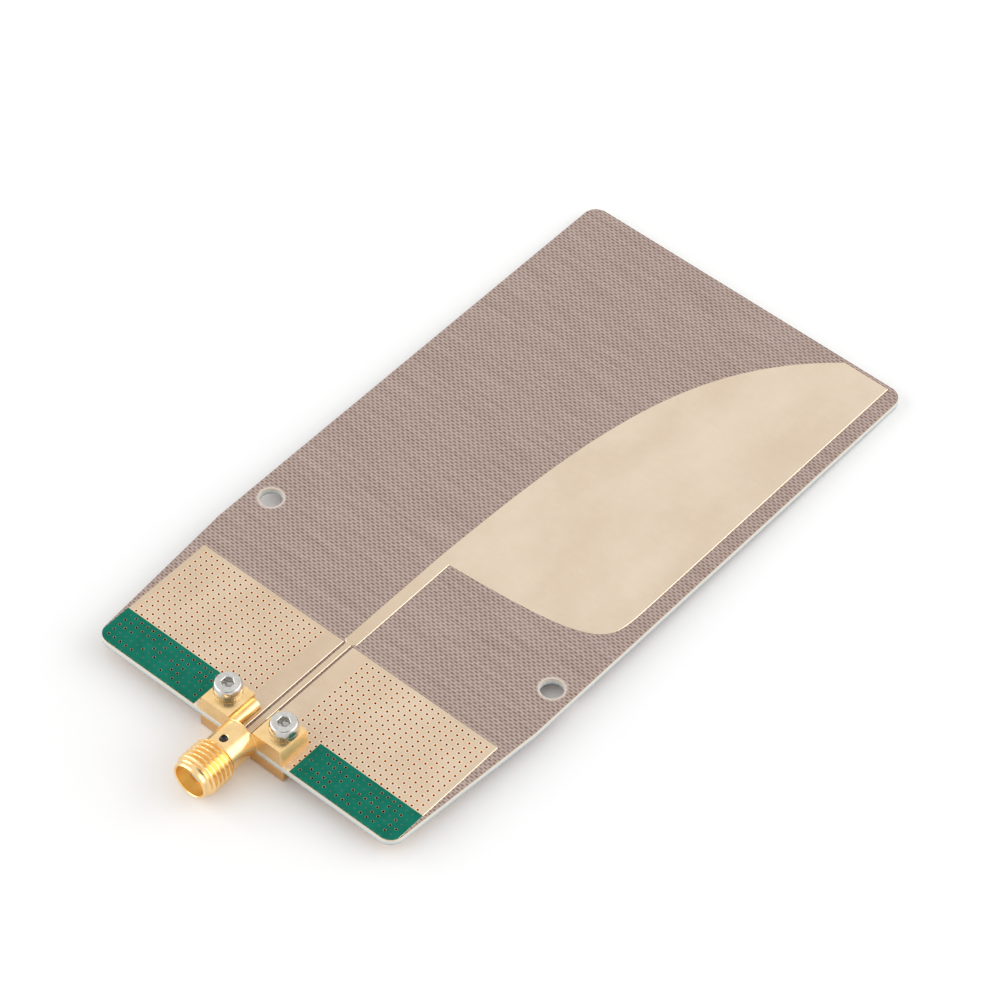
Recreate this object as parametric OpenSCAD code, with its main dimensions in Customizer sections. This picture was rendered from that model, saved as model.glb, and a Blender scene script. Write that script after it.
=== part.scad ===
// Antipodal tapered-slot antenna: a thin laminate board with one copper fin on each face,
// fed by an end-launch coaxial jack that clamps the feed edge of the board.
// X runs across the board, +Y is the direction of radiation and +Z is the component side.
// The origin lies midway between the two mounting holes, on the underside of the laminate.

/* [Board] */
// Length of the board, from the feed edge to the radiating edge
board_l = 101.4; // [85:0.1:140]
// Width of the board
board_w = 54; // [50:0.5:80]
// Thickness of the laminate
board_t = 1; // [0.4:0.1:2]
// Amount by which each side of the board draws in at the feed edge
side_draw = 2; // [0:0.1:4]
// Length of the drawn-in sides, from the feed edge
side_draw_l = 25; // [10:0.5:30]
// Radius of the four corners
corner_r = 2; // [0.5:0.1:4]
// Distance of the mounting holes from the feed edge
hole_y = 31.7; // [28:0.1:36]
// Distance of each mounting hole from the long edge
hole_edge = 3; // [2.5:0.1:6]
// Diameter of the mounting holes
hole_d = 3.2; // [2:0.1:4]

/* [Copper] */
// Thickness of the copper foil
foil_t = 0.035; // [0.015:0.005:0.1]
// Width of the ground area at the feed edge
ground_w = 50; // [36:0.5:50]
// Length of the ground area, from the feed edge
ground_l = 20.05; // [12:0.05:26]
// Width of the feed line between the ground pads
line_w = 0.87; // [0.4:0.01:1.4]
// Gap on each side of the feed line
line_gap = 0.345; // [0.15:0.005:0.6]
// Width of the parallel strips that lead to the fins
strip_w = 1.84; // [1.4:0.02:3]

/* [Fins] */
// Distance of the fins' lower corner from the feed edge
fin_y = 38.5; // [36:0.1:50]
// Distance of the slot's edge from the centre line at the mouth
mouth_x = 17.4; // [10:0.1:20]
// Opening rate of the slot's exponential edge, per millimetre
slot_rate = 0.0622; // [0.04:0.0002:0.09]
// Closing rate of the fins' exponential lower edge, per millimetre
heel_rate = 0.657; // [0.3:0.001:1.2]
// Bare margin between a fin and the long edge of the board
fin_side_margin = 2.33; // [1:0.01:4]
// Bare margin between a fin and the radiating edge of the board
fin_end_margin = 0.5; // [0.3:0.05:3]

/* [Solder mask] */
// Thickness of the solder mask
mask_t = 0.02; // [0.01:0.005:0.06]
// Length of the masked areas, from the feed edge
mask_l = 5.85; // [5:0.05:10]
// Bare copper between the clamp feet and the mask
mask_clear = 1.05; // [0.5:0.05:3]

/* [Jack barrel] */
// Crest diameter of the coupling thread
thread_d = 6.3; // [5.8:0.05:7]
// Length of the threaded stretch with its tapered ends
thread_l = 4.75; // [3.6:0.05:6]
// Length of the taper at each end of the thread
thread_taper = 0.7; // [0.3:0.05:1.5]
// Diameter of the neck behind the thread
neck_d = 5.34; // [5:0.02:5.6]
// Length of the neck
neck_l = 4.05; // [3.8:0.05:8]
// Radius of the fillet between neck and flange
neck_fillet = 0.1; // [0.05:0.05:0.8]
// Diameter of the plain rim in front of the thread
rim_d = 5.4; // [5.3:0.02:5.6]
// Length of the rim
rim_l = 0.65; // [0.4:0.05:2]
// Chamfer on the rim's outer edge
rim_chamfer = 0.2; // [0.05:0.01:0.25]
// Diameter of the mating bore
bore_d = 4.6; // [4.4:0.02:4.8]
// Chamfer at the mouth of the bore
bore_chamfer = 0.1; // [0.05:0.01:0.15]
// Depth of the mating bore
bore_depth = 1.85; // [1.5:0.05:2.4]

/* [Jack inner parts] */
// Diameter of the insulating bead
bead_d = 4.1; // [3.8:0.02:4.3]
// Diameter of the bead's spigot through the back wall
spigot_d = 2; // [1.6:0.05:2.6]
// Thickness of the back wall that holds the bead
back_wall = 1.1; // [0.8:0.05:1.6]
// Diameter of the centre contact
contact_d = 1.27; // [1:0.01:1.5]
// Diameter of the contact's socket hole
socket_d = 0.94; // [0.7:0.01:0.96]
// Depth of the contact's socket hole
socket_depth = 2.6; // [1.5:0.1:3]
// Width of the saw cuts that split the socket into four fingers
slit_w = 0.12; // [0.08:0.01:0.16]
// Length of the saw cuts
slit_l = 2; // [1:0.1:2.4]
// Diameter of the tail that lies on the feed line
tail_d = 0.3; // [0.2:0.01:0.5]
// Length of the tail on the board
tail_l = 1.3; // [0.6:0.05:2]
// Diameter of the epoxy port on top of the neck
port_d = 1.15; // [0.6:0.05:1.4]
// Distance of the epoxy port from the feed edge
port_y = 3.05; // [2.2:0.05:3.2]
// Depth of the epoxy below the surface of the neck
port_sink = 0.12; // [0.05:0.01:0.2]

/* [Clamp] */
// Diameter of the turned flange that the clamp feet are milled from
flange_d = 14.1; // [13:0.1:16]
// Length of the clamp feet along the board
foot_l = 4.8; // [4.6:0.1:8]
// Height of the clamp feet above the copper
foot_h = 2.6; // [2.2:0.05:3.2]
// Width of the slot over the feed line
launch_w = 2.1; // [1.8:0.05:3]
// Width of the upper, wider part of the slot
shelf_w = 4; // [3.4:0.05:4.6]
// Height of the rounded shelves beside the feed line
shelf_h = 1.5; // [1.1:0.05:1.8]
// Thickness of the lower clamp plate
plate_t = 2; // [1.5:0.1:3]
// Distance of the screws from the feed edge
screw_y = 2.85; // [2.2:0.05:3]
// Distance of each screw from the flange's rim
screw_edge = 2.32; // [2.2:0.02:2.6]
// Diameter of the clamp screws
screw_d = 2; // [1.6:0.1:2.2]
// Diameter of the screw heads
head_d = 3.75; // [3.4:0.05:4.2]
// Height of the screw heads
head_h = 1.9; // [1.6:0.05:2.4]
// Rounding of the screw heads' upper edge
head_round = 0.45; // [0.2:0.05:0.8]
// Width of the hexagon socket across its flats
hex_w = 1.5; // [1.2:0.05:1.6]
// Depth of the hexagon socket
hex_depth = 1; // [0.6:0.05:1.2]
// Distance of the screw tips from the underside of the lower plate
tip_inset = 0.3; // [0.1:0.05:0.6]

/* [Fits] */
// Radial clearance of the screws in the feet and in the board
screw_clear = 0.1; // [0.05:0.01:0.2]
// Radial clearance of screw threads and pressed inner parts
fit_clear = 0.01; // [0.005:0.005:0.05]

/* [Hidden] */

$fn = 48;
curve_steps = 44;

feed_y = -hole_y;
end_y = feed_y + board_l;
half_w = board_w / 2;
feed_half_w = half_w - side_draw;
draw_angle = atan(side_draw / side_draw_l);
hole_x = half_w - hole_edge;

copper_top = board_t + foil_t;
ground_end = feed_y + ground_l;
pad_inner = line_w / 2 + line_gap;

fin_start = feed_y + fin_y;
fin_end = end_y - fin_end_margin;
fin_x = half_w - fin_side_margin;
fin_l = fin_end - fin_start;
slot_gain = (mouth_x + strip_w / 2) / (exp(slot_rate * fin_l) - 1);
heel_decays = 8;
heel_l = heel_decays / heel_rate;

flange_r = flange_d / 2;
axis_z = copper_top + tail_d / 2;
jack_l = neck_l + thread_l + rim_l;
bead_front = jack_l - bore_depth;
foot_top = copper_top + foot_h;
shelf_r = (shelf_w - launch_w) / 2;
screw_x = flange_r - screw_edge;
plate_top = -foil_t;
plate_bottom = plate_top - plate_t;
mask_inner = flange_r + mask_clear;
cut = 1;

// Edge of the slot: the inner edge of a fin at a given place along the board.
function slot_x(y) = -strip_w / 2 + slot_gain * (exp(slot_rate * (y - fin_start)) - 1);

// Lower edge of a fin, which bends up into its straight side.
function heel_x(y) = fin_x - (fin_x - strip_w / 2) * exp(-heel_rate * (y - fin_start));

// Half-width of the board at a given distance from the feed edge, along the drawn-in sides.
function side_x(d) = feed_half_w + d * tan(draw_angle);

// Board outline: straight edges between the corner circles' points of touch.
module board_outline() {
    front_c = side_x(corner_r) - corner_r / cos(draw_angle);
    side_touch = [front_c + corner_r * cos(draw_angle), feed_y + corner_r - corner_r * sin(draw_angle)];
    right = [[front_c, feed_y], side_touch, [half_w, feed_y + side_draw_l],
        [half_w, end_y - corner_r], [half_w - corner_r, end_y]];
    left = [for (i = [len(right) - 1 : -1 : 0]) [-right[i][0], right[i][1]]];
    polygon(concat(right, left));
    for (s = [-1, 1]) {
        translate([s * front_c, feed_y + corner_r]) circle(corner_r);
        translate([s * (half_w - corner_r), end_y - corner_r]) circle(corner_r);
    }
}

// Places of the two clamp screws.
module at_screws() {
    for (s = [-1, 1]) translate([s * screw_x, feed_y + screw_y]) children();
}

// Rectangle from x0 to x1 that starts at the feed edge.
module feed_area(x0, x1, l) {
    translate([x0, feed_y]) square([x1 - x0, l]);
}

// Strip and fin on the +X side as one outline; foot holds the points of its feed end, right to left.
module strip_and_fin(foot) {
    slot = [for (i = [0 : curve_steps]) let (y = fin_start + fin_l * i / curve_steps) [slot_x(y), y]];
    heel = [for (i = [curve_steps : -1 : 0])
        let (y = fin_start + heel_l * pow(i / curve_steps, 2)) [heel_x(y), y]];
    polygon(concat(slot, [[fin_x, fin_end]], heel, foot));
}

module laminate() {
    color([0.68, 0.6, 0.56]) difference() {
        linear_extrude(board_t) board_outline();
        for (s = [-1, 1]) translate([s * hole_x, 0, -cut]) cylinder(d = hole_d, h = board_t + 2 * cut);
        translate([0, 0, -cut]) linear_extrude(board_t + 2 * cut)
            at_screws() circle(screw_d / 2 + screw_clear);
    }
}

// Ground pad on the component side; side is -1 for the left one and 1 for the right one.
module ground_pad(side) {
    color([0.87, 0.79, 0.68]) translate([0, 0, board_t]) linear_extrude(foil_t) difference() {
        intersection() {
            board_outline();
            scale([side, 1]) feed_area(pad_inner, ground_w / 2, ground_l);
        }
        at_screws() circle(screw_d / 2 + screw_clear);
    }
}

module ground_left() { ground_pad(-1); }

module ground_right() { ground_pad(1); }

// Component-side copper: the feed line widens to the strip where the ground pads end.
module radiator_top() {
    widening = ground_end + (strip_w - line_w) / 2;
    color([0.88, 0.8, 0.69]) translate([0, 0, board_t]) linear_extrude(foil_t)
        strip_and_fin([[strip_w / 2, widening], [line_w / 2, ground_end], [line_w / 2, feed_y],
            [-line_w / 2, feed_y], [-line_w / 2, ground_end], [-strip_w / 2, widening]]);
}

// Far-side copper: the ground plane under the feed line, its strip and the mirrored fin.
module radiator_bottom() {
    color([0.87, 0.79, 0.68]) translate([0, 0, -foil_t]) linear_extrude(foil_t) difference() {
        union() {
            mirror([1, 0]) strip_and_fin([[strip_w / 2, feed_y + foot_l], [-strip_w / 2, feed_y + foot_l]]);
            intersection() {
                board_outline();
                feed_area(-ground_w / 2, ground_w / 2, ground_l);
            }
        }
        at_screws() circle(screw_d / 2 + screw_clear);
    }
}

// Solder mask beside one clamp foot; side as for the ground pads.
module mask_area(side) {
    color([0.09, 0.45, 0.37]) translate([0, 0, copper_top]) linear_extrude(mask_t) intersection() {
        board_outline();
        scale([side, 1]) feed_area(mask_inner, ground_w / 2, mask_l);
    }
}

module mask_left() { mask_area(-1); }

module mask_right() { mask_area(1); }

// Turned parts of the jack: Z of the children runs out of the jack, from the feed edge.
module on_jack_axis() {
    translate([0, feed_y, axis_z]) rotate([90, 0, 0]) children();
}

// Half section of the turned blank, with the flange behind the feed edge.
module blank_section() {
    flange_back = -foot_l;
    front = jack_l - rim_l;
    difference() {
        polygon([[0, flange_back], [flange_r, flange_back], [flange_r, 0], [neck_d / 2 + neck_fillet, 0],
            [neck_d / 2 + neck_fillet, neck_fillet], [neck_d / 2, neck_fillet], [neck_d / 2, neck_l],
            [thread_d / 2, neck_l + thread_taper], [thread_d / 2, front - thread_taper], [rim_d / 2, front],
            [rim_d / 2, jack_l - rim_chamfer], [rim_d / 2 - rim_chamfer, jack_l], [0, jack_l]]);
        translate([neck_d / 2 + neck_fillet, neck_fillet]) circle(neck_fillet);
    }
}

// Section of the slot that is milled over the feed line, with a rounded shelf on each side.
module launch_section() {
    height = foot_h + cut;
    translate([-launch_w / 2, -cut]) square([launch_w, height + cut]);
    difference() {
        translate([-shelf_w / 2, shelf_h - shelf_r]) square([shelf_w, height - shelf_h + shelf_r]);
        for (s = [-1, 1]) translate([s * shelf_w / 2, shelf_h - shelf_r]) circle(shelf_r);
    }
}

// What is milled off the flange, so that two clamp feet stay on top of the board.
module milled_off() {
    wide = flange_d + 2 * cut;
    deep = flange_r + axis_z + cut;
    translate([-wide / 2, feed_y, copper_top - deep]) cube([wide, foot_l + cut, deep]);
    translate([-wide / 2, feed_y, foot_top]) cube([wide, foot_l + cut, deep]);
    translate([0, feed_y + foot_l + cut, copper_top]) rotate([90, 0, 0])
        linear_extrude(foot_l + cut) launch_section();
}

module jack_body() {
    color([0.93, 0.74, 0.4]) difference() {
        on_jack_axis() rotate_extrude() blank_section();
        milled_off();
        on_jack_axis() {
            translate([0, 0, bead_front]) cylinder(d = bore_d, h = bore_depth + cut);
            translate([0, 0, jack_l - bore_chamfer])
                cylinder(d1 = bore_d, d2 = bore_d + 2 * bore_chamfer, h = bore_chamfer);
            translate([0, 0, back_wall]) cylinder(d = bead_d, h = bead_front - back_wall);
            translate([0, 0, -cut]) cylinder(d = spigot_d, h = back_wall + 2 * cut);
        }
        translate([0, feed_y - port_y, axis_z]) cylinder(d = port_d, h = neck_d);
        translate([0, 0, copper_top - cut]) linear_extrude(foot_h + 2 * cut)
            at_screws() circle(screw_d / 2 + screw_clear);
    }
}

// Insulating bead: flush with the floor of the mating bore, with a spigot through the back wall.
module dielectric() {
    color([0.94, 0.93, 0.9]) on_jack_axis() difference() {
        union() {
            cylinder(d = spigot_d - 2 * fit_clear, h = bead_front);
            translate([0, 0, back_wall]) cylinder(d = bead_d - 2 * fit_clear, h = bead_front - back_wall);
        }
        translate([0, 0, back_wall]) cylinder(d = contact_d + 2 * fit_clear, h = bead_front);
        translate([0, 0, -cut]) cylinder(d = tail_d + 2 * fit_clear, h = back_wall + 2 * cut);
    }
}

module centre_contact() {
    color([0.9, 0.72, 0.38]) on_jack_axis() difference() {
        union() {
            translate([0, 0, back_wall]) cylinder(d = contact_d, h = bead_front - back_wall);
            translate([0, 0, -tail_l]) cylinder(d = tail_d, h = tail_l + back_wall);
        }
        translate([0, 0, bead_front - socket_depth]) cylinder(d = socket_d, h = socket_depth + cut);
        for (turn = [0, 90]) rotate(turn)
            translate([-contact_d, -slit_w / 2, bead_front - slit_l])
                cube([2 * contact_d, slit_w, slit_l + cut]);
    }
}

// Epoxy in the port: it lies on the bead and stays a little below the surface of the neck.
module port_plug() {
    color([0.08, 0.07, 0.07]) difference() {
        translate([0, feed_y - port_y, axis_z])
            cylinder(d = port_d - 2 * fit_clear, h = neck_d / 2 - port_sink);
        on_jack_axis() cylinder(d = bead_d, h = jack_l);
    }
}

module lower_clamp() {
    color([0.9, 0.71, 0.4]) difference() {
        translate([-flange_r, feed_y, plate_bottom]) cube([flange_d, foot_l, plate_t]);
        translate([0, 0, plate_bottom - cut]) linear_extrude(plate_t + 2 * cut)
            at_screws() circle(screw_d / 2 + fit_clear);
    }
}

// Socket cap screw: it seats on a foot and ends inside the lower plate.
module clamp_screw(side) {
    color([0.8, 0.8, 0.8]) translate([side * screw_x, feed_y + screw_y, foot_top]) difference() {
        union() {
            rotate_extrude() {
                square([head_d / 2, head_h - head_round]);
                square([head_d / 2 - head_round, head_h]);
                translate([head_d / 2 - head_round, head_h - head_round]) intersection() {
                    circle(head_round);
                    square(head_round);
                }
            }
            tip = plate_bottom + tip_inset - foot_top;
            translate([0, 0, tip]) cylinder(d = screw_d, h = -tip);
        }
        translate([0, 0, head_h - hex_depth]) cylinder(d = hex_w / cos(30), h = hex_depth + cut, $fn = 6);
    }
}

module screw_left() { clamp_screw(-1); }

module screw_right() { clamp_screw(1); }

laminate();
ground_left();
ground_right();
radiator_top();
radiator_bottom();
mask_left();
mask_right();
jack_body();
dielectric();
centre_contact();
port_plug();
lower_clamp();
screw_left();
screw_right();
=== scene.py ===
import math
import random

import bmesh
import bpy
from mathutils import Matrix, Vector
from mathutils.geometry import delaunay_2d_cdt


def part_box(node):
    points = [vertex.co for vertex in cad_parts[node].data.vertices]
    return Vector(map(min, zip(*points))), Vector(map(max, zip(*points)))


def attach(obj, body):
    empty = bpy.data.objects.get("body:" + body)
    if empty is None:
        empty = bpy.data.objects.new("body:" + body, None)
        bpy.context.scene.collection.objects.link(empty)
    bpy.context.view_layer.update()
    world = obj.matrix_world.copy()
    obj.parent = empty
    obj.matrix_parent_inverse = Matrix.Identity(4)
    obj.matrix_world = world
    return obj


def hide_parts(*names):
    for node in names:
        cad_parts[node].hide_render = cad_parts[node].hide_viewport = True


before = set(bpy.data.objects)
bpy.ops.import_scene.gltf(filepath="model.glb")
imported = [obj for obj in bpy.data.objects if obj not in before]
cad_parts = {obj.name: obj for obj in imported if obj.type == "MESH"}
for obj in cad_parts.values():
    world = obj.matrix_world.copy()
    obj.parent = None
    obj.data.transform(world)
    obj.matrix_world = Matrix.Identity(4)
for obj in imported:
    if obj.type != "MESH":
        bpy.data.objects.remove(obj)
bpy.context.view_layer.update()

# Sizes are in millimetres in the frame of the solids, and each finished mesh is scaled to metres.
MM = 0.001
TAU = 2 * math.pi


def cad_box(node):
    """Lowest and highest corner of a solid, in millimetres."""
    low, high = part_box(node)
    return low / MM, high / MM


# Places measured on the frame
BOARD_LOW, BOARD_HIGH = cad_box("laminate")
PAD_HIGH = cad_box("ground_right")[1]
FAR_LOW, FAR_HIGH = cad_box("radiator_bottom")
MASK_LOW, MASK_HIGH = cad_box("mask_right")
JACK_LOW, JACK_HIGH = cad_box("jack_body")
BEAD_LOW, BEAD_HIGH = cad_box("dielectric")
CONTACT_LOW, CONTACT_HIGH = cad_box("centre_contact")
PLATE_LOW, PLATE_HIGH = cad_box("lower_clamp")
SCREW_LOW, SCREW_HIGH = cad_box("screw_right")

FEED_Y = BOARD_LOW.y
BOARD_TOP = BOARD_HIGH.z
COPPER_TOP = PAD_HIGH.z
AXIS_Z = (CONTACT_LOW.z + CONTACT_HIGH.z) / 2
JACK_L = FEED_Y - JACK_LOW.y
FLANGE_R = JACK_HIGH.x
FOOT_L = JACK_HIGH.y - FEED_Y
SCREW_X = (SCREW_LOW.x + SCREW_HIGH.x) / 2
SCREW_Y = (SCREW_LOW.y + SCREW_HIGH.y) / 2

# Via field of the ground pads
VIA_PITCH = 1.0
VIA_FIRST_X = 3.91
VIA_END_MARGIN = 0.9
VIA_COLUMNS = 21
VIA_ROWS = 19
VIA_R = 0.135
VIA_RIM_R = 0.175
VIA_RIM_DEPTH = 0.025
VIA_SIDES = 12
VIA_SCREW_CLEAR = 0.5
# Painted highlight: a paler ring round each via on the pads
PAINTED_VIA_HIGHLIGHT_R = 0.3
PAINTED_VIA_HIGHLIGHT_SOFT = 0.06
MASK_OPENING_R = 0.2
MASK_DIMPLE_R = 0.12
MASK_DIMPLE_DEPTH = 0.016
MASK_SPOT_R = 0.13
MASK_SPOT_SOFT = 0.04
MASK_OPEN_SHARE = 0.62
MASK_SEED = 11

# Jack
NECK_R = 2.67
NECK_L = 4.05
FILLET_R = 0.1
THREAD_R = JACK_HIGH.z - AXIS_Z
THREAD_L = 4.75
THREAD_TAPER = 0.7
THREAD_PITCH = 0.7056
THREAD_DEPTH = 0.48
THREAD_CREST = 5.27
THREAD_FLAT = 0.06
THREAD_STEPS = 26
RIM_R = 2.7
RIM_CHAMFER = 0.2
BORE_R = 2.3
BORE_CHAMFER = 0.1
BORE_DEPTH = 1.85
BACK_WALL = 1.1
SPIGOT_R = 1.0
BEAD_R = 2.05
TAIL_R = 0.15
PORT_R = 0.575
PORT_OUT = 3.05
PORT_FLARE = 0.09
TURNED_SIDES = 208
BEAD_SIDES = 96
CONTACT_SIDES = 64
ROD_SIDES = 48

# Gap between pieces that fit into each other, and how far a cutter runs past what it cuts
FIT_GAP = 0.01
CUT_PAST = 1.0

# Clamp feet, with heights above the copper
FOOT_H = 2.6
FOOT_FRONT_LAP = 0.02
FOOT_ROUND = 0.11
FOOT_SOLE = 0.1
LAUNCH_X = 1.05
SHELF_X = 2.0
SHELF_H = 1.5
SCREW_HOLE_R = 1.1
PLATE_ROUND = 0.14

# Cap screws, with heads a little wider than the plain ones of the solids
HEAD_EXTRA_R = 0.05
HEAD_R = (SCREW_HIGH.x - SCREW_LOW.x) / 2 + HEAD_EXTRA_R
HEAD_H = SCREW_HIGH.z - COPPER_TOP - FOOT_H
HEAD_ROUND = 0.37
HEAD_CROWN = 1.08
HEAD_UNDERCUT = 0.2
SHANK_R = 1.0
SHANK_CHAMFER = 0.25
KNURLS = 36
KNURL_DEPTH = 0.03
KNURL_ABOVE_SKIRT = 0.08
KNURL_BELOW_CROWN = 0.05
SOCKET_W = 1.5
SOCKET_DEPTH = 1.0
SOCKET_POINT = 0.25
SOCKET_CHAMFER = 0.06
SCREW_SIDES = 144

# Component-side foil: etched slope of its edges, and where behind the pads its warm tone turns paler
FOIL_SLOPE = 0.05
WARM_TO = 2.0
PALE_FROM = 20.0

# Laminate
YARN_PITCH = 0.4325
HOLE_X = 24.0
HOLE_R = 1.6
HOLE_HALO_FROM = 0.12
HOLE_HALO_TO = 0.45
# Painted shade on the laminate beside the feed line reaches this far from the centre
CHANNEL_X = 0.9
CHANNEL_SOFT = 0.05
SPECK = (-0.58, -25.86)
SPECK_R = 0.15
SPECK_SOFT = 0.03

# Tolerances, and the angle in degrees from which an edge is sharp enough to be rounded
OUTLINE_TOLERANCE = 1e-5
MERGE_DISTANCE = 1e-6
NEAR = 1e-4
SHARP_FROM = 40

# Stage, in metres and degrees
FLOOR_HALF = 4.0
FLOOR_GREY = 0.97
CARD_HALF = 0.55
CARD_GREY = 0.25
CARD_DIRECTION = (0.433, -0.427, 0.796)
CARD_DISTANCE = 1.2
STAGE_ROUGHNESS = 0.9
LIT_POINT = (0, 0.015, 0)
LAMP_DISTANCE = 2.0
FILL = 0.745
CAMERA_PLACE = (0.232015, -0.267947, 0.426144)
CAMERA_TURN = 39.07
CAMERA_TILT = 41.06
CAMERA_ROLL = 1.976
CAMERA_CLIP = 0.01

# Sensor and lens of the camera, in millimetres
SENSOR_W = 36.0
LENS = 155.2


# Outlines

def circle(centre, radius, sides):
    """Points of a round outline."""
    angles = [TAU * k / sides for k in range(sides)]
    return [(centre[0] + radius * math.cos(a), centre[1] + radius * math.sin(a)) for a in angles]


def arc(centre, radius, start, end, steps):
    """Points of an arc between two angles in degrees, both ends included."""
    angles = [math.radians(start + (end - start) * k / steps) for k in range(steps + 1)]
    return [(centre[0] + radius * math.cos(a), centre[1] + radius * math.sin(a)) for a in angles]


def rectangle(low, high):
    """Corners of a rectangle between its lowest and its highest one."""
    return [(low[0], low[1]), (high[0], low[1]), (high[0], high[1]), (low[0], high[1])]


def loop_area(loop):
    """Area inside a closed outline."""
    return abs(sum(a[0] * b[1] - a[1] * b[0] for a, b in zip(loop, loop[1:] + loop[:1]))) / 2


def inset(loop, distance):
    """A closed outline moved towards its inside, which lies on the left of its direction."""
    moved = []
    for before, here, after in zip(loop[-1:] + loop[:-1], loop, loop[1:] + loop[:1]):
        sides = ((before, here), (here, after))
        first, second = [Vector((a[1] - b[1], b[0] - a[0])).normalized() for a, b in sides]
        moved.append(Vector(here) + (first + second) * distance / (1 + first.dot(second)))
    return moved


def flat_loops(node):
    """Closed outlines of a flat solid's upper face, the outer one first."""
    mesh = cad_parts[node].data
    edges = set()
    for face in mesh.polygons:
        if face.normal.z > 0.99:
            ring = [tuple(round(c / MM, 5) for c in mesh.vertices[i].co.xy) for i in face.vertices]
            edges.update(zip(ring, ring[1:] + ring[:1]))
    following = {a: b for a, b in edges if (b, a) not in edges}
    loops = []
    while following:
        loop = [min(following)]
        while loop[-1] in following:
            loop.append(following.pop(loop[-1]))
        loops.append(loop[:-1])
    return sorted(loops, key=loop_area, reverse=True)


def via_places():
    """Centres of all plated vias, clear of the clamp screws."""
    places = []
    for side in (-1, 1):
        for column in range(VIA_COLUMNS):
            for row in range(VIA_ROWS):
                x = side * (VIA_FIRST_X + column * VIA_PITCH)
                y = PAD_HIGH.y - VIA_END_MARGIN - row * VIA_PITCH
                if math.dist((abs(x), y), (SCREW_X, SCREW_Y)) > SCREW_HOLE_R + VIA_SCREW_CLEAR:
                    places.append((x, y))
    return places


VIAS = via_places()


# Meshes

def plate(loops, low, high, dimples=(), slope=0.0):
    """A flat plate between two heights: the first loop is its outline and the others are holes.

    A dimple is a round dent of the upper face, as (centre, radius, depth).
    With a slope the outline of the upper face is moved in by that distance.
    Gives the points, the faces and, for each face, whether it is a wall.
    """
    dent_loops = [circle(centre, radius, VIA_SIDES) for centre, radius, _ in dimples]
    points, edges, owner = [], [], []
    for number, loop in enumerate(loops + dent_loops):
        first = len(points)
        points += [Vector(p) for p in loop]
        edges += [(first + k, first + (k + 1) % len(loop)) for k in range(len(loop))]
        owner += [number] * len(loop)
    inside_only = 1
    flat, _, triangles, origin, _, _ = delaunay_2d_cdt(points, edges, [], inside_only, OUTLINE_TOLERANCE)
    index = {old: new for new, olds in enumerate(origin) for old in olds}
    loop_of = [owner[olds[0]] for olds in origin]
    count = len(flat)
    upper = list(flat)
    if slope:
        for number, place in enumerate(inset(loops[0], slope)):
            upper[index[number]] = place
    verts = [(p.x, p.y, high) for p in upper] + [(p.x, p.y, low) for p in flat]
    faces, walls = [], []
    for tri in triangles:
        holders = {loop_of[v] for v in tri}
        if len(holders) == 1 and holders != {0}:
            continue
        faces += [tuple(tri), tuple(v + count for v in reversed(tri))]
        walls += [False, False]
    for a, b in edges:
        a_top, b_top, number = index[a], index[b], owner[a]
        if number < len(loops):
            faces.append((a_top, b_top, b_top + count, a_top + count))
            walls.append(True)
        else:
            centre, _, depth = dimples[number - len(loops)]
            verts += [(*centre, high - depth), (*centre, low)]
            faces += [(a_top, b_top, len(verts) - 2), (b_top + count, a_top + count, len(verts) - 1)]
            walls += [False, False]
    return verts, faces, walls


def lathe(profile, sides, place, closed=False):
    """A turned surface: profile holds (radius, height) pairs.

    A radius may be a function of the angle, and a closed profile ends where it starts.
    """
    verts, rings = [], []
    for radius, height in profile:
        if radius == 0:
            rings.append([len(verts)] * sides)
            verts.append(place(0, 0, height))
            continue
        rings.append(range(len(verts), len(verts) + sides))
        for k in range(sides):
            angle = TAU * k / sides
            verts.append(place(radius(angle) if callable(radius) else radius, angle, height))
    faces = []
    for lower, upper in zip(rings, rings[1:] + (rings[:1] if closed else [])):
        for k in range(sides):
            ring = (lower[k], lower[(k + 1) % sides], upper[(k + 1) % sides], upper[k])
            faces.append(tuple(dict.fromkeys(ring)))
    return verts, faces


def prism(outline, front, back):
    """A solid along Y with an outline in X and Z."""
    count = len(outline)
    verts = [(x, front, z) for x, z in outline] + [(x, back, z) for x, z in outline]
    faces = [tuple(range(count)), tuple(reversed(range(count, 2 * count)))]
    for k in range(count):
        n = (k + 1) % count
        faces.append((k, n, n + count, k + count))
    return verts, faces


def raw_object(verts, faces):
    """A mesh object in millimetres that booleans can work on, with its faces turned outwards."""
    mesh = bpy.data.meshes.new("raw")
    mesh.from_pydata(verts, [], faces)
    work = bmesh.new()
    work.from_mesh(mesh)
    bmesh.ops.remove_doubles(work, verts=work.verts, dist=MERGE_DISTANCE)
    bmesh.ops.recalc_face_normals(work, faces=work.faces)
    work.to_mesh(mesh)
    work.free()
    obj = bpy.data.objects.new("raw", mesh)
    bpy.context.scene.collection.objects.link(obj)
    return obj


def round_edges(obj, radius, wanted, steps=3):
    """Rounds the sharp edges of a raw object that the test picks out."""
    work = bmesh.new()
    work.from_mesh(obj.data)
    sharp = [e for e in work.edges if e.calc_face_angle(0) > math.radians(SHARP_FROM) and wanted(e)]
    bmesh.ops.bevel(work, geom=sharp, offset=radius, segments=steps, profile=0.5, affect="EDGES",
                    clamp_overlap=True)
    work.to_mesh(obj.data)
    work.free()


def combine(base, other, operation):
    """Joins another raw object to the first one, or cuts it out, and drops the other."""
    modifier = base.modifiers.new("combine", "BOOLEAN")
    modifier.solver = "EXACT"
    modifier.operation = operation
    modifier.object = other
    shape = base.evaluated_get(bpy.context.evaluated_depsgraph_get())
    base.data = bpy.data.meshes.new_from_object(shape)
    base.modifiers.clear()
    bpy.data.objects.remove(other)


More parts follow.
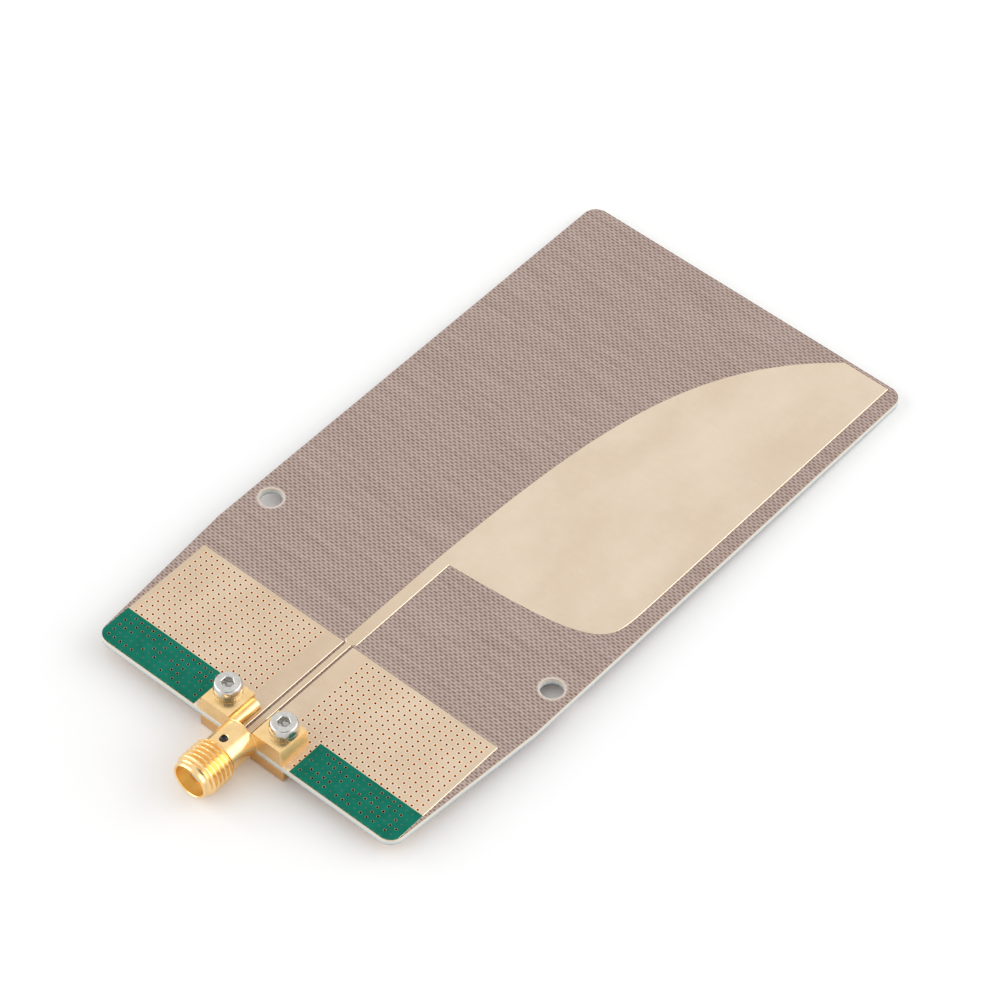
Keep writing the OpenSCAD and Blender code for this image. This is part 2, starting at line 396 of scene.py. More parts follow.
def add_piece(name, obj, materials, stands_for=(), sharp=32, wall_flags=None):
    """Makes a raw object a finished piece of the part."""
    obj.name = name
    mesh = obj.data
    mesh.name = name
    mesh.transform(Matrix.Scale(MM, 4))
    mesh.materials.clear()
    for material in materials:
        mesh.materials.append(material)
    for number, face in enumerate(mesh.polygons):
        face.use_smooth = True
        face.material_index = int(bool(wall_flags and wall_flags[number]))
    mesh.set_sharp_from_angle(angle=math.radians(sharp))
    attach(obj, "root")
    if stands_for:
        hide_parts(*stands_for)
    return obj


def on_jack(radius, angle, out):
    """A point round the jack's axis; out is the distance in front of the feed edge."""
    return (radius * math.sin(angle), FEED_Y - out, AXIS_Z + radius * math.cos(angle))


def upright(x, y, base):
    """Places points of a turned piece round a vertical axis."""
    def place(radius, angle, height):
        return (x + radius * math.cos(angle), y + radius * math.sin(angle), base + height)
    return place


# Materials

def srgb(red, green, blue):
    """Linear colour of a colour as seen on a screen, given from 0 to 255."""
    parts = [c / 255 for c in (red, green, blue)]
    return [c / 12.92 if c <= 0.04045 else ((c + 0.055) / 1.055) ** 2.4 for c in parts] + [1.0]


# Noise lies mostly between these two values, and this is how strong its finer detail is.
NOISE_LOW = 0.3
NOISE_HIGH = 0.7
NOISE_ROUGHNESS = 0.55


class Finish:
    """A node material with one Principled shader, and short calls that add nodes to it."""

    def __init__(self, name, **constants):
        self.material = bpy.data.materials.new(name)
        self.material.use_nodes = True
        self.tree = self.material.node_tree
        self.shader = self.tree.nodes["Principled BSDF"]
        for socket, value in constants.items():
            self.shader.inputs[socket.replace("_", " ")].default_value = value
        coordinates = self.tree.nodes.new("ShaderNodeTexCoord").outputs["Object"]
        self.place = self.node("ShaderNodeVectorMath", coordinates, None, None, 1 / MM,
                               operation="SCALE").outputs[0]
        axes = self.node("ShaderNodeSeparateXYZ", self.place).outputs
        self.x, self.y, self.z = axes[0], axes[1], axes[2]

    def node(self, kind, *inputs, **settings):
        """Adds a node; its inputs are values or sockets in the node's own order, None for none."""
        made = self.tree.nodes.new(kind)
        for key, value in settings.items():
            setattr(made, key, value)
        for socket, value in zip(made.inputs, inputs):
            if isinstance(value, bpy.types.NodeSocket):
                self.tree.links.new(value, socket)
            elif value is not None:
                socket.default_value = value
        return made

    def math(self, operation, *inputs):
        """Result of a Math node."""
        return self.node("ShaderNodeMath", *inputs, operation=operation).outputs[0]

    def sum(self, *terms):
        """Sum of values or sockets."""
        total = terms[0]
        for term in terms[1:]:
            total = self.math("ADD", total, term)
        return total

    def times(self, a, b):
        """Product of two values or sockets."""
        return self.math("MULTIPLY", a, b)

    def length(self, *parts):
        """Length of a vector from its parts."""
        return self.math("SQRT", self.sum(*[self.times(part, part) for part in parts]))

    def wave(self, along, period):
        """Cosine along a coordinate, between -1 and 1."""
        return self.math("COSINE", self.times(along, TAU / period))

    def noise(self, size, stretch=(1, 1, 1), detail=3.0):
        """Noise with features of a given size; stretch lengthens them by axis."""
        scaled = self.node("ShaderNodeVectorMath", self.place, [1 / s for s in stretch],
                           operation="MULTIPLY").outputs[0]
        made = self.node("ShaderNodeTexNoise", scaled, None, 1 / size, detail, NOISE_ROUGHNESS)
        return made.outputs["Fac"]

    def between(self, value, low, high, to_low=0.0, to_high=1.0):
        """Maps a range of a value to another one, held at the ends."""
        return self.node("ShaderNodeMapRange", value, low, high, to_low, to_high).outputs[0]

    def varied(self, low, high, size, stretch=(1, 1, 1), detail=3.0):
        """Noise spread over a range of values."""
        return self.between(self.noise(size, stretch, detail), NOISE_LOW, NOISE_HIGH, low, high)

    def ramp(self, value, *stops):
        """Colour by value; stops are (position, colour)."""
        made = self.node("ShaderNodeValToRGB", value)
        elements = made.color_ramp.elements
        while len(elements) < len(stops):
            elements.new(0.5)
        for element, (position, colour) in zip(elements, stops):
            element.position = position
            element.color = colour
        return made.outputs["Color"]

    def blend(self, share, first, second):
        """Colour between two others."""
        made = self.node("ShaderNodeMix", share, data_type="RGBA")
        for socket, value in ((made.inputs[6], first), (made.inputs[7], second)):
            if isinstance(value, bpy.types.NodeSocket):
                self.tree.links.new(value, socket)
            else:
                socket.default_value = value
        return made.outputs[2]

    def feed(self, socket, value):
        """Links a socket to an input of the shader."""
        self.tree.links.new(value, self.shader.inputs[socket])

    def relief(self, height, depth, strength=1.0):
        """Bump from a height between about 0 and 1; depth is in millimetres."""
        made = self.node("ShaderNodeBump")
        made.inputs["Strength"].default_value = strength
        made.inputs["Distance"].default_value = depth * MM
        self.tree.links.new(height, made.inputs["Height"])
        self.feed("Normal", made.outputs["Normal"])


def via_distance(finish):
    """Distance from the nearest place of the via grid, large outside the field."""
    across = finish.math("SUBTRACT", finish.math("ABSOLUTE", finish.x), VIA_FIRST_X)
    along = finish.math("SUBTRACT", finish.y, PAD_HIGH.y - VIA_END_MARGIN)
    steps = [finish.math("WRAP", value, VIA_PITCH / 2, -VIA_PITCH / 2) for value in (across, along)]
    beside = finish.math("LESS_THAN", across, -VIA_PITCH / 2)
    past = finish.math("GREATER_THAN", across, (VIA_COLUMNS - 0.5) * VIA_PITCH)
    behind = finish.math("GREATER_THAN", along, VIA_PITCH / 2)
    return finish.sum(finish.length(*steps), beside, past, behind)


def weave(finish):
    """Brightness of the plain glass weave: bright rows, with staggered dark dashes between them."""
    rows = finish.times(finish.wave(finish.y, YARN_PITCH), -1.0)
    crossings = finish.times(*[finish.wave(axis, 2 * YARN_PITCH) for axis in (finish.x, finish.y)])
    columns = finish.times(finish.wave(finish.x, YARN_PITCH), 0.2)
    return finish.sum(rows, finish.times(crossings, 1.1), columns)


def laminate_face():
    """Bare woven face: painted shade beside the feed line, pale round the mounting holes, one speck of
    mask.
    """
    finish = Finish("laminate_face", Specular_IOR_Level=0.25)
    cloth = weave(finish)
    streaks = finish.varied(-0.4, 0.4, 1.1, (9, 0.5, 1))
    mottle = finish.varied(-0.45, 0.45, 0.5)
    level = finish.between(finish.sum(cloth, streaks, mottle), -2.6, 2.0)
    colour = finish.ramp(level, (0.0, srgb(97, 73, 64)), (0.45, srgb(156, 134, 124)),
                         (0.75, srgb(182, 162, 153)), (1.0, srgb(202, 185, 177)))
    off_centre = finish.math("ABSOLUTE", finish.x)
    # Painted shade: the laminate in the gaps beside the feed line is darkened, where the foil's edges
    # shade it.
    inside = finish.between(finish.y, PAD_HIGH.y + 2 * CHANNEL_SOFT, PAD_HIGH.y)
    beside_feed = finish.between(off_centre, CHANNEL_X + CHANNEL_SOFT, CHANNEL_X - CHANNEL_SOFT)
    painted_channel_shade = finish.times(beside_feed, inside)
    colour = finish.blend(finish.times(painted_channel_shade, 0.55), colour, srgb(104, 72, 62))
    to_speck = finish.length(finish.math("SUBTRACT", finish.x, SPECK[0]),
                             finish.math("SUBTRACT", finish.y, SPECK[1]))
    speck = finish.between(to_speck, SPECK_R + SPECK_SOFT, SPECK_R - SPECK_SOFT)
    colour = finish.blend(speck, colour, srgb(24, 122, 84))
    to_hole = finish.length(finish.math("SUBTRACT", off_centre, HOLE_X), finish.y)
    halo = finish.between(to_hole, HOLE_R + HOLE_HALO_FROM, HOLE_R + HOLE_HALO_TO, 0.75, 0.0)
    finish.feed("Base Color", finish.blend(halo, colour, srgb(228, 217, 206)))
    finish.feed("Roughness", finish.varied(0.5, 0.66, 0.8))
    finish.relief(finish.between(cloth, -2.3, 1.5), 0.006, 0.6)
    return finish.material


def laminate_edge():
    """Cut edge of the laminate: pale fibres, tan under the upper face and greyish at the lower one."""
    finish = Finish("laminate_edge", Specular_IOR_Level=0.25)
    fibres = finish.varied(-0.05, 0.05, 0.5, (6, 6, 0.16), 4)
    level = finish.sum(finish.between(finish.z, 0, BOARD_TOP), fibres)
    colour = finish.ramp(level, (0.0, srgb(150, 160, 160)), (0.13, srgb(188, 205, 210)),
                         (0.4, srgb(214, 212, 205)), (0.82, srgb(226, 219, 208)),
                         (0.93, srgb(206, 184, 150)), (1.0, srgb(196, 170, 130)))
    finish.feed("Base Color", colour)
    finish.feed("Roughness", finish.varied(0.55, 0.75, 0.4))
    finish.relief(finish.noise(0.3, (5, 5, 0.2), 4), 0.02, 0.7)
    return finish.material


def copper(name, with_vias):
    """Satin foil: with vias, a painted highlight round each one; without vias, warmer near the feed."""
    finish = Finish(name, Metallic=1.0)
    patches = finish.varied(0.0, 1.0, 9.0, (1, 1.6, 1), 3)
    grain = finish.varied(-0.06, 0.06, 0.16, (3, 1, 1), 2)
    rows = finish.times(finish.wave(finish.y, YARN_PITCH), -0.12)
    level = finish.sum(patches, grain, rows)
    if with_vias:
        colour = finish.ramp(level, (0.0, srgb(211, 191, 166)), (0.5, srgb(217, 198, 174)),
                             (1.0, srgb(223, 206, 184)))
        # Painted highlight: a paler ring round each via stands for the light its rim catches.
        halo = finish.between(via_distance(finish), PAINTED_VIA_HIGHLIGHT_R + PAINTED_VIA_HIGHLIGHT_SOFT,
                              PAINTED_VIA_HIGHLIGHT_R - PAINTED_VIA_HIGHLIGHT_SOFT, 0.0, 0.38)
        colour = finish.blend(halo, colour, srgb(250, 236, 214))
    else:
        colour = finish.ramp(level, (0.0, srgb(219, 201, 180)), (0.5, srgb(224, 208, 188)),
                             (1.0, srgb(228, 213, 194)))
        near_feed = finish.between(finish.y, PAD_HIGH.y + PALE_FROM, PAD_HIGH.y + WARM_TO, 0.0, 0.9)
        colour = finish.blend(near_feed, colour, srgb(214, 195, 170))
    finish.feed("Base Color", colour)
    finish.feed("Roughness", finish.varied(0.56, 0.68, 1.2, (2, 1, 1)))
    print_through = finish.times(weave(finish), 0.12)
    finish.relief(finish.sum(finish.noise(0.12, (4, 1, 1), 2), print_through), 0.002, 0.5)
    return finish.material


def foil_edge():
    """Etched slope of the foil's edges, with a base paler than the foil's as a painted highlight besides
    the light the slope catches.
    """
    finish = Finish("foil_edge", Metallic=1.0)
    level = finish.varied(0.0, 1.0, 0.5)
    # Painted highlight: the edge's base colour is paler than the foil's.
    finish.feed("Base Color", finish.ramp(level, (0.0, srgb(222, 203, 174)), (1.0, srgb(238, 222, 197))))
    finish.feed("Roughness", finish.varied(0.18, 0.28, 0.3))
    finish.relief(finish.noise(0.1, detail=2), 0.001, 0.5)
    return finish.material


def via_plating():
    """Reddish plating of the vias, dark where solder mask surrounds them."""
    finish = Finish("via_plating", Metallic=1.0)
    level = finish.varied(0.0, 1.0, 0.2)
    colour = finish.ramp(level, (0.0, srgb(232, 128, 58)), (1.0, srgb(250, 164, 90)))
    masked = finish.times(finish.math("GREATER_THAN", finish.math("ABSOLUTE", finish.x), MASK_LOW.x),
                          finish.math("LESS_THAN", finish.y, MASK_HIGH.y))
    finish.feed("Base Color", finish.blend(finish.times(masked, 0.85), colour, srgb(74, 34, 30)))
    finish.feed("Roughness", finish.varied(0.3, 0.45, 0.1))
    finish.relief(finish.noise(0.05, detail=2), 0.003, 0.5)
    return finish.material


def solder_mask():
    """Green solder mask, with a greyish spot over each via."""
    finish = Finish("solder_mask", Specular_IOR_Level=0.1)
    level = finish.varied(0.0, 1.0, 1.6, detail=4)
    colour = finish.ramp(level, (0.0, srgb(5, 103, 82)), (1.0, srgb(12, 118, 97)))
    spots = finish.between(via_distance(finish), MASK_SPOT_R + MASK_SPOT_SOFT,
                           MASK_SPOT_R - MASK_SPOT_SOFT, 0.0, 0.6)
    finish.feed("Base Color", finish.blend(spots, colour, srgb(92, 108, 98)))
    finish.feed("Roughness", finish.varied(0.24, 0.36, 0.6))
    finish.relief(finish.noise(0.45, detail=2), 0.006, 0.5)
    return finish.material


def gold():
    """Gold plating: painted shade under the board, a deeper gold painted in the bore for light bouncing
    between its walls, and rougher in the bore and on the feet's outer rounds.
    """
    finish = Finish("gold", Metallic=1.0)
    skin, bore_end, edge = 0.03, 0.02, 0.05
    rim_from, rim_to = FLANGE_R - 0.75, FLANGE_R - 0.4
    level = finish.varied(0.0, 1.0, 1.3, detail=4)
    colour = finish.ramp(level, (0.0, srgb(240, 202, 141)), (1.0, srgb(250, 216, 160)))
    radius = finish.length(finish.x, finish.math("SUBTRACT", finish.z, AXIS_Z))
    # Inside the bore a deeper gold is painted for the light bouncing between its walls, and the wall is
    # rougher.
    bore_painted_tone_and_roughness = finish.times(finish.math("LESS_THAN", radius, BORE_R + skin),
                         finish.math("LESS_THAN", finish.y, JACK_LOW.y + BORE_DEPTH - bore_end))
    colour = finish.blend(bore_painted_tone_and_roughness, colour, srgb(255, 213, 126))
    # Painted shade: the gold below the board is darkened.
    painted_shade_under_board = finish.times(finish.math("LESS_THAN", finish.z, 0.0),
                               finish.math("GREATER_THAN", finish.y, FEED_Y - edge))
    finish.feed("Base Color", finish.blend(finish.times(painted_shade_under_board, 0.6), colour, srgb(204, 152, 92)))
    satin = finish.varied(0.19, 0.25, 0.35, (3, 1, 3))
    flange_rim = finish.times(finish.between(finish.math("ABSOLUTE", finish.x), rim_from, rim_to),
                              finish.math("GREATER_THAN", finish.z, COPPER_TOP))
    rougher = finish.sum(finish.times(flange_rim, 0.28), finish.times(bore_painted_tone_and_roughness, 0.22))
    finish.feed("Roughness", finish.sum(satin, rougher))
    finish.relief(finish.noise(0.09, (30, 1, 30), 2), 0.0012, 0.5)
    return finish.material


def steel():
    """Turned stainless steel."""
    finish = Finish("steel", Metallic=1.0)
    level = finish.varied(0.0, 1.0, 0.6, detail=4)
    finish.feed("Base Color", finish.ramp(level, (0.0, srgb(192, 190, 186)), (1.0, srgb(218, 216, 211))))
    finish.feed("Roughness", finish.varied(0.16, 0.3, 0.25))
    finish.relief(finish.noise(0.1, detail=3), 0.002, 0.5)
    return finish.material


def bead_plastic():
    """White insulating plastic that light enters a little."""
    finish = Finish("bead_plastic", Subsurface_Weight=0.2, Subsurface_Radius=(0.0006, 0.0005, 0.0004))
    level = finish.varied(0.0, 1.0, 0.7)
    finish.feed("Base Color", finish.ramp(level, (0.0, srgb(228, 226, 219)), (1.0, srgb(240, 239, 234))))
    finish.feed("Roughness", finish.varied(0.38, 0.52, 0.3))
    finish.relief(finish.noise(0.08, (1, 20, 1), 2), 0.002, 0.5)
    return finish.material


def epoxy():
    """Black glossy epoxy with an uneven surface."""
    finish = Finish("epoxy", Specular_IOR_Level=0.5)
    level = finish.varied(0.0, 1.0, 0.25)
    finish.feed("Base Color", finish.ramp(level, (0.0, srgb(14, 10, 9)), (1.0, srgb(30, 22, 19))))
    finish.feed("Roughness", finish.varied(0.03, 0.08, 0.2))
    finish.relief(finish.noise(0.3, detail=1), 0.05, 0.6)
    return finish.material


LAMINATE_FACE = laminate_face()
LAMINATE_EDGE = laminate_edge()
COPPER = copper("copper", False)
PAD_COPPER = copper("pad_copper", True)
FOIL_EDGE = foil_edge()
VIA_PLATING = via_plating()
SOLDER_MASK = solder_mask()
GOLD = gold()
STEEL = steel()
BEAD_PLASTIC = bead_plastic()
EPOXY = epoxy()


# Board

def board():
    """The laminate with its mounting, screw and via holes."""
    loops = flat_loops("laminate") + [circle(place, VIA_RIM_R, VIA_SIDES) for place in VIAS]
    verts, faces, walls = plate(loops, BOARD_LOW.z, BOARD_TOP)
    obj = raw_object(verts, faces)
    add_piece("board", obj, [LAMINATE_FACE, LAMINATE_EDGE], ["laminate"], wall_flags=walls)


def foil(name, node, vias, material, slope=0.0):
    """A foil area with its via holes."""
    low, high = cad_box(node)
    loops = flat_loops(node) + [circle(place, VIA_RIM_R, VIA_SIDES) for place in vias]
    verts, faces, walls = plate(loops, low.z, high.z, slope=slope)
    obj = raw_object(verts, faces)
    add_piece(name, obj, [material, FOIL_EDGE], [node], sharp=10, wall_flags=walls)


def plated_vias():
    """The plated barrels of all vias, each a tube with a dipped rim at both ends."""
    low, high = FAR_LOW.z, COPPER_TOP
    section = [(VIA_RIM_R, low), (VIA_RIM_R, high), (VIA_R, high - VIA_RIM_DEPTH),
               (VIA_R, low + VIA_RIM_DEPTH)]
    verts, faces = [], []
    for x, y in VIAS:
        tube_verts, tube_faces = lathe(section, VIA_SIDES, upright(x, y, 0), closed=True)
        faces += [tuple(i + len(verts) for i in face) for face in tube_faces]
        verts += tube_verts
    add_piece("plated_vias", raw_object(verts, faces), [VIA_PLATING])


def mask_film(name, node, side, draw):
    """Solder mask over the vias: some are left open and the others are covered, with a small dent."""
    low, high = cad_box(node)
    inner, upper = MASK_LOW.x + MASK_OPENING_R, MASK_HIGH.y - MASK_OPENING_R
    covered = [p for p in VIAS if p[0] * side > inner and p[1] < upper]
    is_open = [draw.random() < MASK_OPEN_SHARE for _ in covered]
    openings = [circle(p, MASK_OPENING_R, VIA_SIDES) for p, free in zip(covered, is_open) if free]
    dimples = [(p, MASK_DIMPLE_R, MASK_DIMPLE_DEPTH) for p, free in zip(covered, is_open) if not free]
    verts, faces, _ = plate(flat_loops(node) + openings, low.z, high.z, dimples)
    add_piece(name, raw_object(verts, faces), [SOLDER_MASK], [node])


board()
foil("ground_foil_left", "ground_left", [p for p in VIAS if p[0] < 0], PAD_COPPER, FOIL_SLOPE)
foil("ground_foil_right", "ground_right", [p for p in VIAS if p[0] > 0], PAD_COPPER, FOIL_SLOPE)
foil("fin_foil", "radiator_top", [], COPPER, FOIL_SLOPE)
foil("far_foil", "radiator_bottom", VIAS, PAD_COPPER)
plated_vias()
mask_draw = random.Random(MASK_SEED)
mask_film("mask_film_left", "mask_left", -1, mask_draw)
mask_film("mask_film_right", "mask_right", 1, mask_draw)


# Jack

def thread_radius(out):
    """Radius of the thread at one distance from the feed edge, as a function of the angle."""
    end = NECK_L + THREAD_L
    limit = min(NECK_R + (THREAD_R - NECK_R) * (out - NECK_L) / THREAD_TAPER,
                RIM_R + (THREAD_R - RIM_R) * (end - out) / THREAD_TAPER)

    def radius(angle):
        turn = (out - THREAD_CREST) / THREAD_PITCH + angle / TAU
        off_crest = abs(turn - round(turn))
        drop = (off_crest - THREAD_FLAT) / (0.5 - 2 * THREAD_FLAT)
        return min(limit, THREAD_R - THREAD_DEPTH * min(max(drop, 0.0), 1.0))
    return radius


def barrel():
    """Turned part of the jack with its helical thread, as one closed ring section."""
    fillet_centre = (NECK_R + FILLET_R, FILLET_R)
    thread_end = NECK_L + THREAD_L
    steps = round(THREAD_L / THREAD_PITCH * THREAD_STEPS)
    thread = [NECK_L + THREAD_L * k / steps for k in range(1, steps)]
    profile = [(SPIGOT_R, 0), (NECK_R + FILLET_R, 0)]
    profile += arc(fillet_centre, FILLET_R, 270, 180, steps=8)
    profile += [(NECK_R, NECK_L)] + [(thread_radius(out), out) for out in thread]
    profile += [(RIM_R, thread_end), (RIM_R, JACK_L - RIM_CHAMFER), (RIM_R - RIM_CHAMFER, JACK_L),
                (BORE_R + BORE_CHAMFER, JACK_L), (BORE_R, JACK_L - BORE_CHAMFER),
                (BORE_R, JACK_L - BORE_DEPTH), (BEAD_R, JACK_L - BORE_DEPTH), (BEAD_R, BACK_WALL),
                (SPIGOT_R, BACK_WALL)]
    return raw_object(*lathe(profile, TURNED_SIDES, on_jack, closed=True))


def foot(side):
    """One clamp foot: flat top, rounded shelf beside the feed line, the flange's round on the outside."""
    shelf_r = SHELF_X - LAUNCH_X
    rise = AXIS_Z - COPPER_TOP
    top_angle = math.degrees(math.asin((FOOT_H - rise) / FLANGE_R))
    low_angle = -math.degrees(math.asin(rise / FLANGE_R))
    section = [(LAUNCH_X, 0)] + arc((SHELF_X, SHELF_H - shelf_r), shelf_r, 180, 90, steps=10)
    section += [(SHELF_X, FOOT_H)] + arc((0, rise), FLANGE_R, top_angle, low_angle, steps=10)
    outline = [(side * x, COPPER_TOP + z) for x, z in section]
    obj = raw_object(*prism(outline, FEED_Y - FOOT_FRONT_LAP, FEED_Y + FOOT_L))
    foot_top = COPPER_TOP + FOOT_H
    back = FEED_Y + FOOT_L

    def shown(edge):
        ends = [v.co for v in edge.verts]
        on_top = all(abs(p.z - foot_top) < NEAR for p in ends)
        on_back = all(abs(p.y - back) < NEAR and p.z > COPPER_TOP + FOOT_SOLE for p in ends)
        return on_top or on_back
    round_edges(obj, FOOT_ROUND, shown)
    return obj


def rod(radius, place, low, high, flare=0.0, flare_from=0.0):
    """A round cutter, with an optional flare at its upper end."""
    profile = [(0, low), (radius, low)]
    if flare:
        profile.append((radius, flare_from))
    profile += [(radius + flare, high), (0, high)]
    return raw_object(*lathe(profile, ROD_SIDES, place))


def jack_shell():
    """Barrel and feet in one, with the screw holes and the flared epoxy port cut out."""
    shell = barrel()
    for side in (-1, 1):
        combine(shell, foot(side), "UNION")
    for side in (-1, 1):
        sole = upright(side * SCREW_X, SCREW_Y, COPPER_TOP)
        combine(shell, rod(SCREW_HOLE_R, sole, -CUT_PAST, FOOT_H + CUT_PAST), "DIFFERENCE")
    port = rod(PORT_R, upright(0, FEED_Y - PORT_OUT, AXIS_Z), 0, NECK_R + PORT_FLARE, 2 * PORT_FLARE,
               NECK_R - PORT_FLARE)
    combine(shell, port, "DIFFERENCE")
    add_piece("jack_shell", shell, [GOLD], ["jack_body"], sharp=28)


def insulator():
    """Insulating bead with its spigot through the back wall."""
    outer, inner = (BEAD_HIGH.x - BEAD_LOW.x) / 2, (CONTACT_HIGH.x - CONTACT_LOW.x) / 2 + FIT_GAP
    spigot, tail = SPIGOT_R - FIT_GAP, TAIL_R + FIT_GAP
    front, soft = JACK_L - BORE_DEPTH, 0.05
    profile = [(tail, 0), (spigot, 0), (spigot, BACK_WALL), (outer, BACK_WALL), (outer, front - soft),
               (outer - soft, front), (inner + soft, front), (inner, front - soft), (inner, BACK_WALL),
               (tail, BACK_WALL)]
    obj = raw_object(*lathe(profile, BEAD_SIDES, on_jack, closed=True))
    add_piece("insulator", obj, [BEAD_PLASTIC], ["dielectric"])


def socket_contact():
    """Centre contact: a socket slit into four fingers, and the tail that lies on the feed line."""
    radius = (CONTACT_HIGH.x - CONTACT_LOW.x) / 2
    tail_end, front = FEED_Y - CONTACT_HIGH.y, FEED_Y - CONTACT_LOW.y
    tip_r, tip_l = TAIL_R - 0.04, 0.06
    bore, bore_depth, drill_point, soft = 0.47, 2.6, 0.2, 0.06
    slit, slit_l, right_through = 0.12, 2.0, 2.0
    profile = [(0, tail_end), (tip_r, tail_end), (TAIL_R, tail_end + tip_l), (TAIL_R, BACK_WALL),
               (radius, BACK_WALL), (radius, front - soft), (radius - soft, front), (bore + soft, front),
               (bore, front - soft), (bore, front - bore_depth), (0, front - bore_depth - drill_point)]
    obj = raw_object(*lathe(profile, CONTACT_SIDES, on_jack))
    for wide, high in ((slit, right_through), (right_through, slit)):
        outline = rectangle((-wide / 2, AXIS_Z - high / 2), (wide / 2, AXIS_Z + high / 2))
        cutter = raw_object(*prism(outline, FEED_Y - front - CUT_PAST, FEED_Y - front + slit_l))
        combine(obj, cutter, "DIFFERENCE")
    add_piece("socket_contact", obj, [GOLD], ["centre_contact"])


def port_epoxy():
    """Epoxy in the port: it lies on the bead and its surface is a shallow bowl."""
    recess, dip, steps = 0.12, 0.24, 10
    radius, edge = PORT_R - FIT_GAP, NECK_R - recess
    bowl = [(radius * k / steps, edge - dip * (1 - (k / steps) ** 2)) for k in range(steps, -1, -1)]
    profile = [(0, 0), (radius, 0)] + bowl
    verts, faces = lathe(profile, ROD_SIDES, upright(0, FEED_Y - PORT_OUT, AXIS_Z))
    seated = [(x, y, max(z, AXIS_Z + math.sqrt(BEAD_R ** 2 - x ** 2))) for x, y, z in verts]
    add_piece("port_epoxy", raw_object(seated, faces), [EPOXY], ["port_plug"], sharp=50)


def clamp_plate():
    """Lower plate with rounded edges and two tapped holes."""
    outline = rectangle((PLATE_LOW.x, PLATE_LOW.z), (PLATE_HIGH.x, PLATE_HIGH.z))
    obj = raw_object(*prism(outline, PLATE_LOW.y, PLATE_HIGH.y))
    round_edges(obj, PLATE_ROUND, lambda edge: True)
    for side in (-1, 1):
        axis = upright(side * SCREW_X, SCREW_Y, 0)
        hole = rod(SHANK_R + FIT_GAP, axis, PLATE_LOW.z - CUT_PAST, PLATE_HIGH.z + CUT_PAST)
        combine(obj, hole, "DIFFERENCE")
    add_piece("clamp_plate", obj, [GOLD], ["lower_clamp"])


def cap_screw(name, node, side):
    """Socket cap screw with a rounded, finely knurled head."""
    tip = SCREW_LOW.z - COPPER_TOP - FOOT_H

    def knurled(angle):
        return HEAD_R - KNURL_DEPTH * (0.5 + 0.5 * math.cos(KNURLS * angle))

    def hexagon(extra):
        def radius(angle):
            flat = (angle + TAU / 12) % (TAU / 6) - TAU / 12
            return SOCKET_W / 2 / math.cos(flat) + extra
        return radius
    crown = [(HEAD_R - HEAD_ROUND + HEAD_ROUND * x, HEAD_H - HEAD_CROWN + HEAD_CROWN * z)
             for x, z in arc((0, 0), 1, 0, 90, steps=12)]
    skirt = arc((HEAD_R - HEAD_UNDERCUT, HEAD_UNDERCUT), HEAD_UNDERCUT, 270, 345, steps=5)
    profile = [(0, tip), (SHANK_R - SHANK_CHAMFER, tip), (SHANK_R, tip + SHANK_CHAMFER), (SHANK_R, 0)]
    profile += skirt + [(knurled, HEAD_UNDERCUT + KNURL_ABOVE_SKIRT)]
    profile += [(knurled, HEAD_H - HEAD_CROWN - KNURL_BELOW_CROWN)] + crown
    profile += [(hexagon(SOCKET_CHAMFER), HEAD_H), (hexagon(0), HEAD_H - SOCKET_CHAMFER),
                (hexagon(0), HEAD_H - SOCKET_DEPTH), (0, HEAD_H - SOCKET_DEPTH - SOCKET_POINT)]
    seat = upright(side * SCREW_X, SCREW_Y, COPPER_TOP + FOOT_H)
    add_piece(name, raw_object(*lathe(profile, SCREW_SIDES, seat)), [STEEL], [node])


jack_shell()
insulator()
socket_contact()
port_epoxy()
clamp_plate()
cap_screw("cap_screw_left", "screw_left", -1)
cap_screw("cap_screw_right", "screw_right", 1)


# Stage: the part rests on the lower plate's edge and on the far end of the far-side fin.

def stage_sheet(name, half, grey, specular):
    """A square matte sheet for the stage."""
    mesh = bpy.data.meshes.new(name)
    corners = [(x, y, 0) for x, y in rectangle((-half, -half), (half, half))]
    mesh.from_pydata(corners, [], [(0, 1, 2, 3)])
    material = bpy.data.materials.new(name)
    material.use_nodes = True
    shader = material.node_tree.nodes["Principled BSDF"]
    shader.inputs["Base Color"].default_value = (grey, grey, grey, 1)
    shader.inputs["Roughness"].default_value = STAGE_ROUGHNESS
    shader.inputs["Specular IOR Level"].default_value = specular
    mesh.materials.append(material)
    obj = bpy.data.objects.new(name, mesh)
    bpy.context.scene.collection.objects.link(obj)
    return obj


def floor():
    """Pale floor, tilted to the line on which the part rests."""
    slope = math.atan2(FAR_LOW.z - PLATE_LOW.z, FAR_HIGH.y - PLATE_HIGH.y)
    obj = stage_sheet("floor", FLOOR_HALF, FLOOR_GREY, specular=0.0)
    obj.rotation_euler.x = slope
    contact_z = PLATE_LOW.z - math.tan(slope) * PLATE_HIGH.y
    obj.location.z = contact_z * MM


def dark_card():
    """A dark card above the front right, which shows only in reflections."""
    obj = stage_sheet("dark_card", CARD_HALF, CARD_GREY, specular=0.5)
    obj.location = Vector(CARD_DIRECTION) * CARD_DISTANCE
    obj.rotation_euler = obj.location.to_track_quat("Z", "Y").to_euler()
    for ray in ("visible_camera", "visible_diffuse", "visible_shadow"):
        setattr(obj, ray, False)


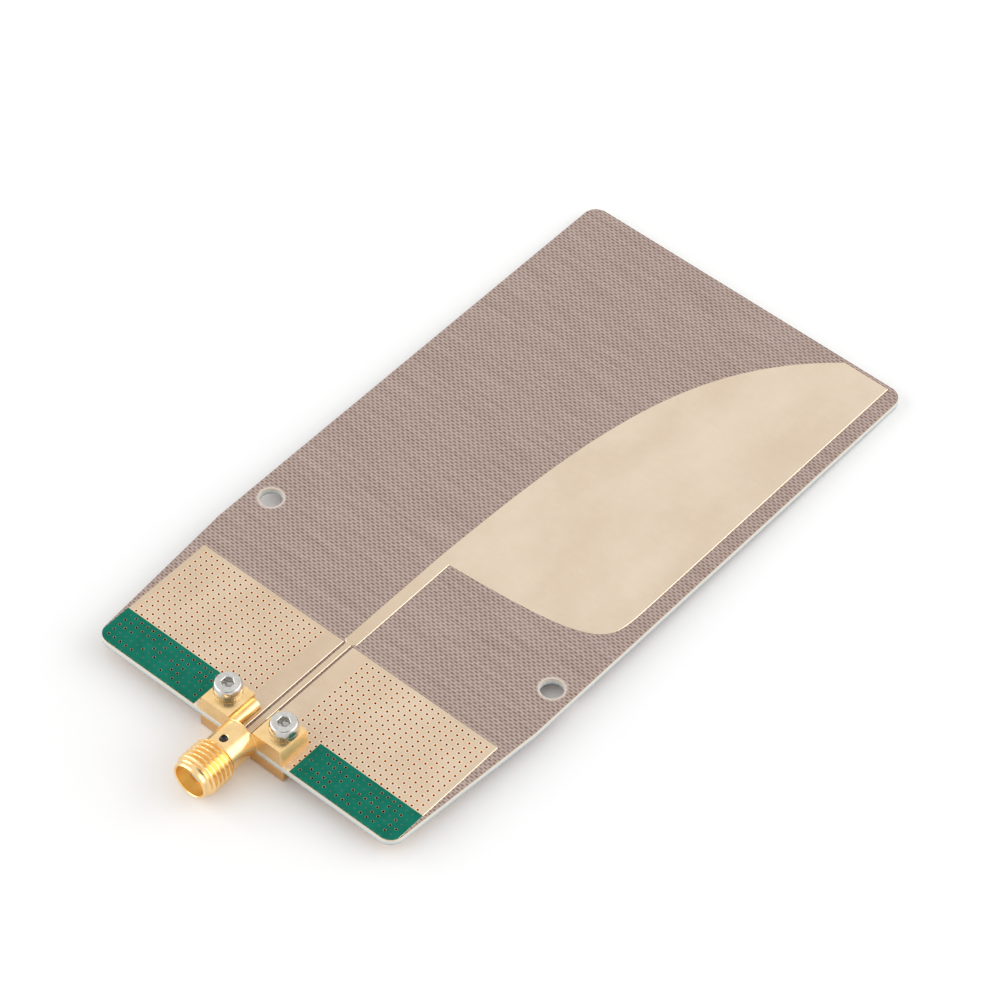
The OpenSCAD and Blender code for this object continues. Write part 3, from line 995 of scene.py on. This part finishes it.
def softbox(name, direction, width, height, radiance):
    """A wide soft lamp that faces the part."""
    target = Vector(LIT_POINT)
    lamp = bpy.data.lights.new(name, "AREA")
    lamp.shape = "RECTANGLE"
    lamp.size = width
    lamp.size_y = height
    lamp.energy = radiance * math.pi * width * height
    obj = bpy.data.objects.new(name, lamp)
    obj.location = target + Vector(direction).normalized() * LAMP_DISTANCE
    obj.rotation_euler = (target - obj.location).to_track_quat("-Z", "Y").to_euler()
    bpy.context.scene.collection.objects.link(obj)


def studio_world(fill):
    """White background for the camera and for reflections, and a plain even fill for the rest."""
    world = bpy.data.worlds.new("studio")
    world.use_nodes = True
    bpy.context.scene.world = world
    tree = world.node_tree
    rays = tree.nodes.new("ShaderNodeLightPath").outputs
    seen = rays["Is Camera Ray"]
    for other in ("Is Glossy Ray", "Is Transmission Ray"):
        both = tree.nodes.new("ShaderNodeMath")
        both.operation = "MAXIMUM"
        tree.links.new(seen, both.inputs[0])
        tree.links.new(rays[other], both.inputs[1])
        seen = both.outputs[0]
    strength = tree.nodes.new("ShaderNodeMapRange")
    tree.links.new(seen, strength.inputs["Value"])
    strength.inputs["To Min"].default_value = fill
    strength.inputs["To Max"].default_value = 1.0
    tree.links.new(strength.outputs[0], tree.nodes["Background"].inputs["Strength"])
    tree.nodes["Background"].inputs["Color"].default_value = (1, 1, 1, 1)


def photo_camera():
    """Camera at the photograph's angle, with the photograph's framing."""
    camera = bpy.data.cameras.new("camera")
    camera.sensor_width = SENSOR_W
    camera.lens = LENS
    camera.clip_start = CAMERA_CLIP
    obj = bpy.data.objects.new("camera", camera)
    turn, tilt, roll = [Matrix.Rotation(math.radians(angle), 4, axis) for angle, axis in
                        ((CAMERA_TURN, "Z"), (CAMERA_TILT, "X"), (CAMERA_ROLL, "Z"))]
    obj.matrix_world = Matrix.Translation(CAMERA_PLACE) @ turn @ tilt @ roll
    bpy.context.scene.collection.objects.link(obj)
    bpy.context.scene.camera = obj


floor()
dark_card()
studio_world(FILL)
softbox("right_softbox", direction=(0.69, 0.56, 0.45), width=2.6, height=1.5, radiance=1.75)
softbox("left_softbox", direction=(-0.75, -0.57, 0.34), width=2.6, height=1.4, radiance=1.8)
photo_camera()
bpy.context.scene.view_settings.view_transform = "Standard"
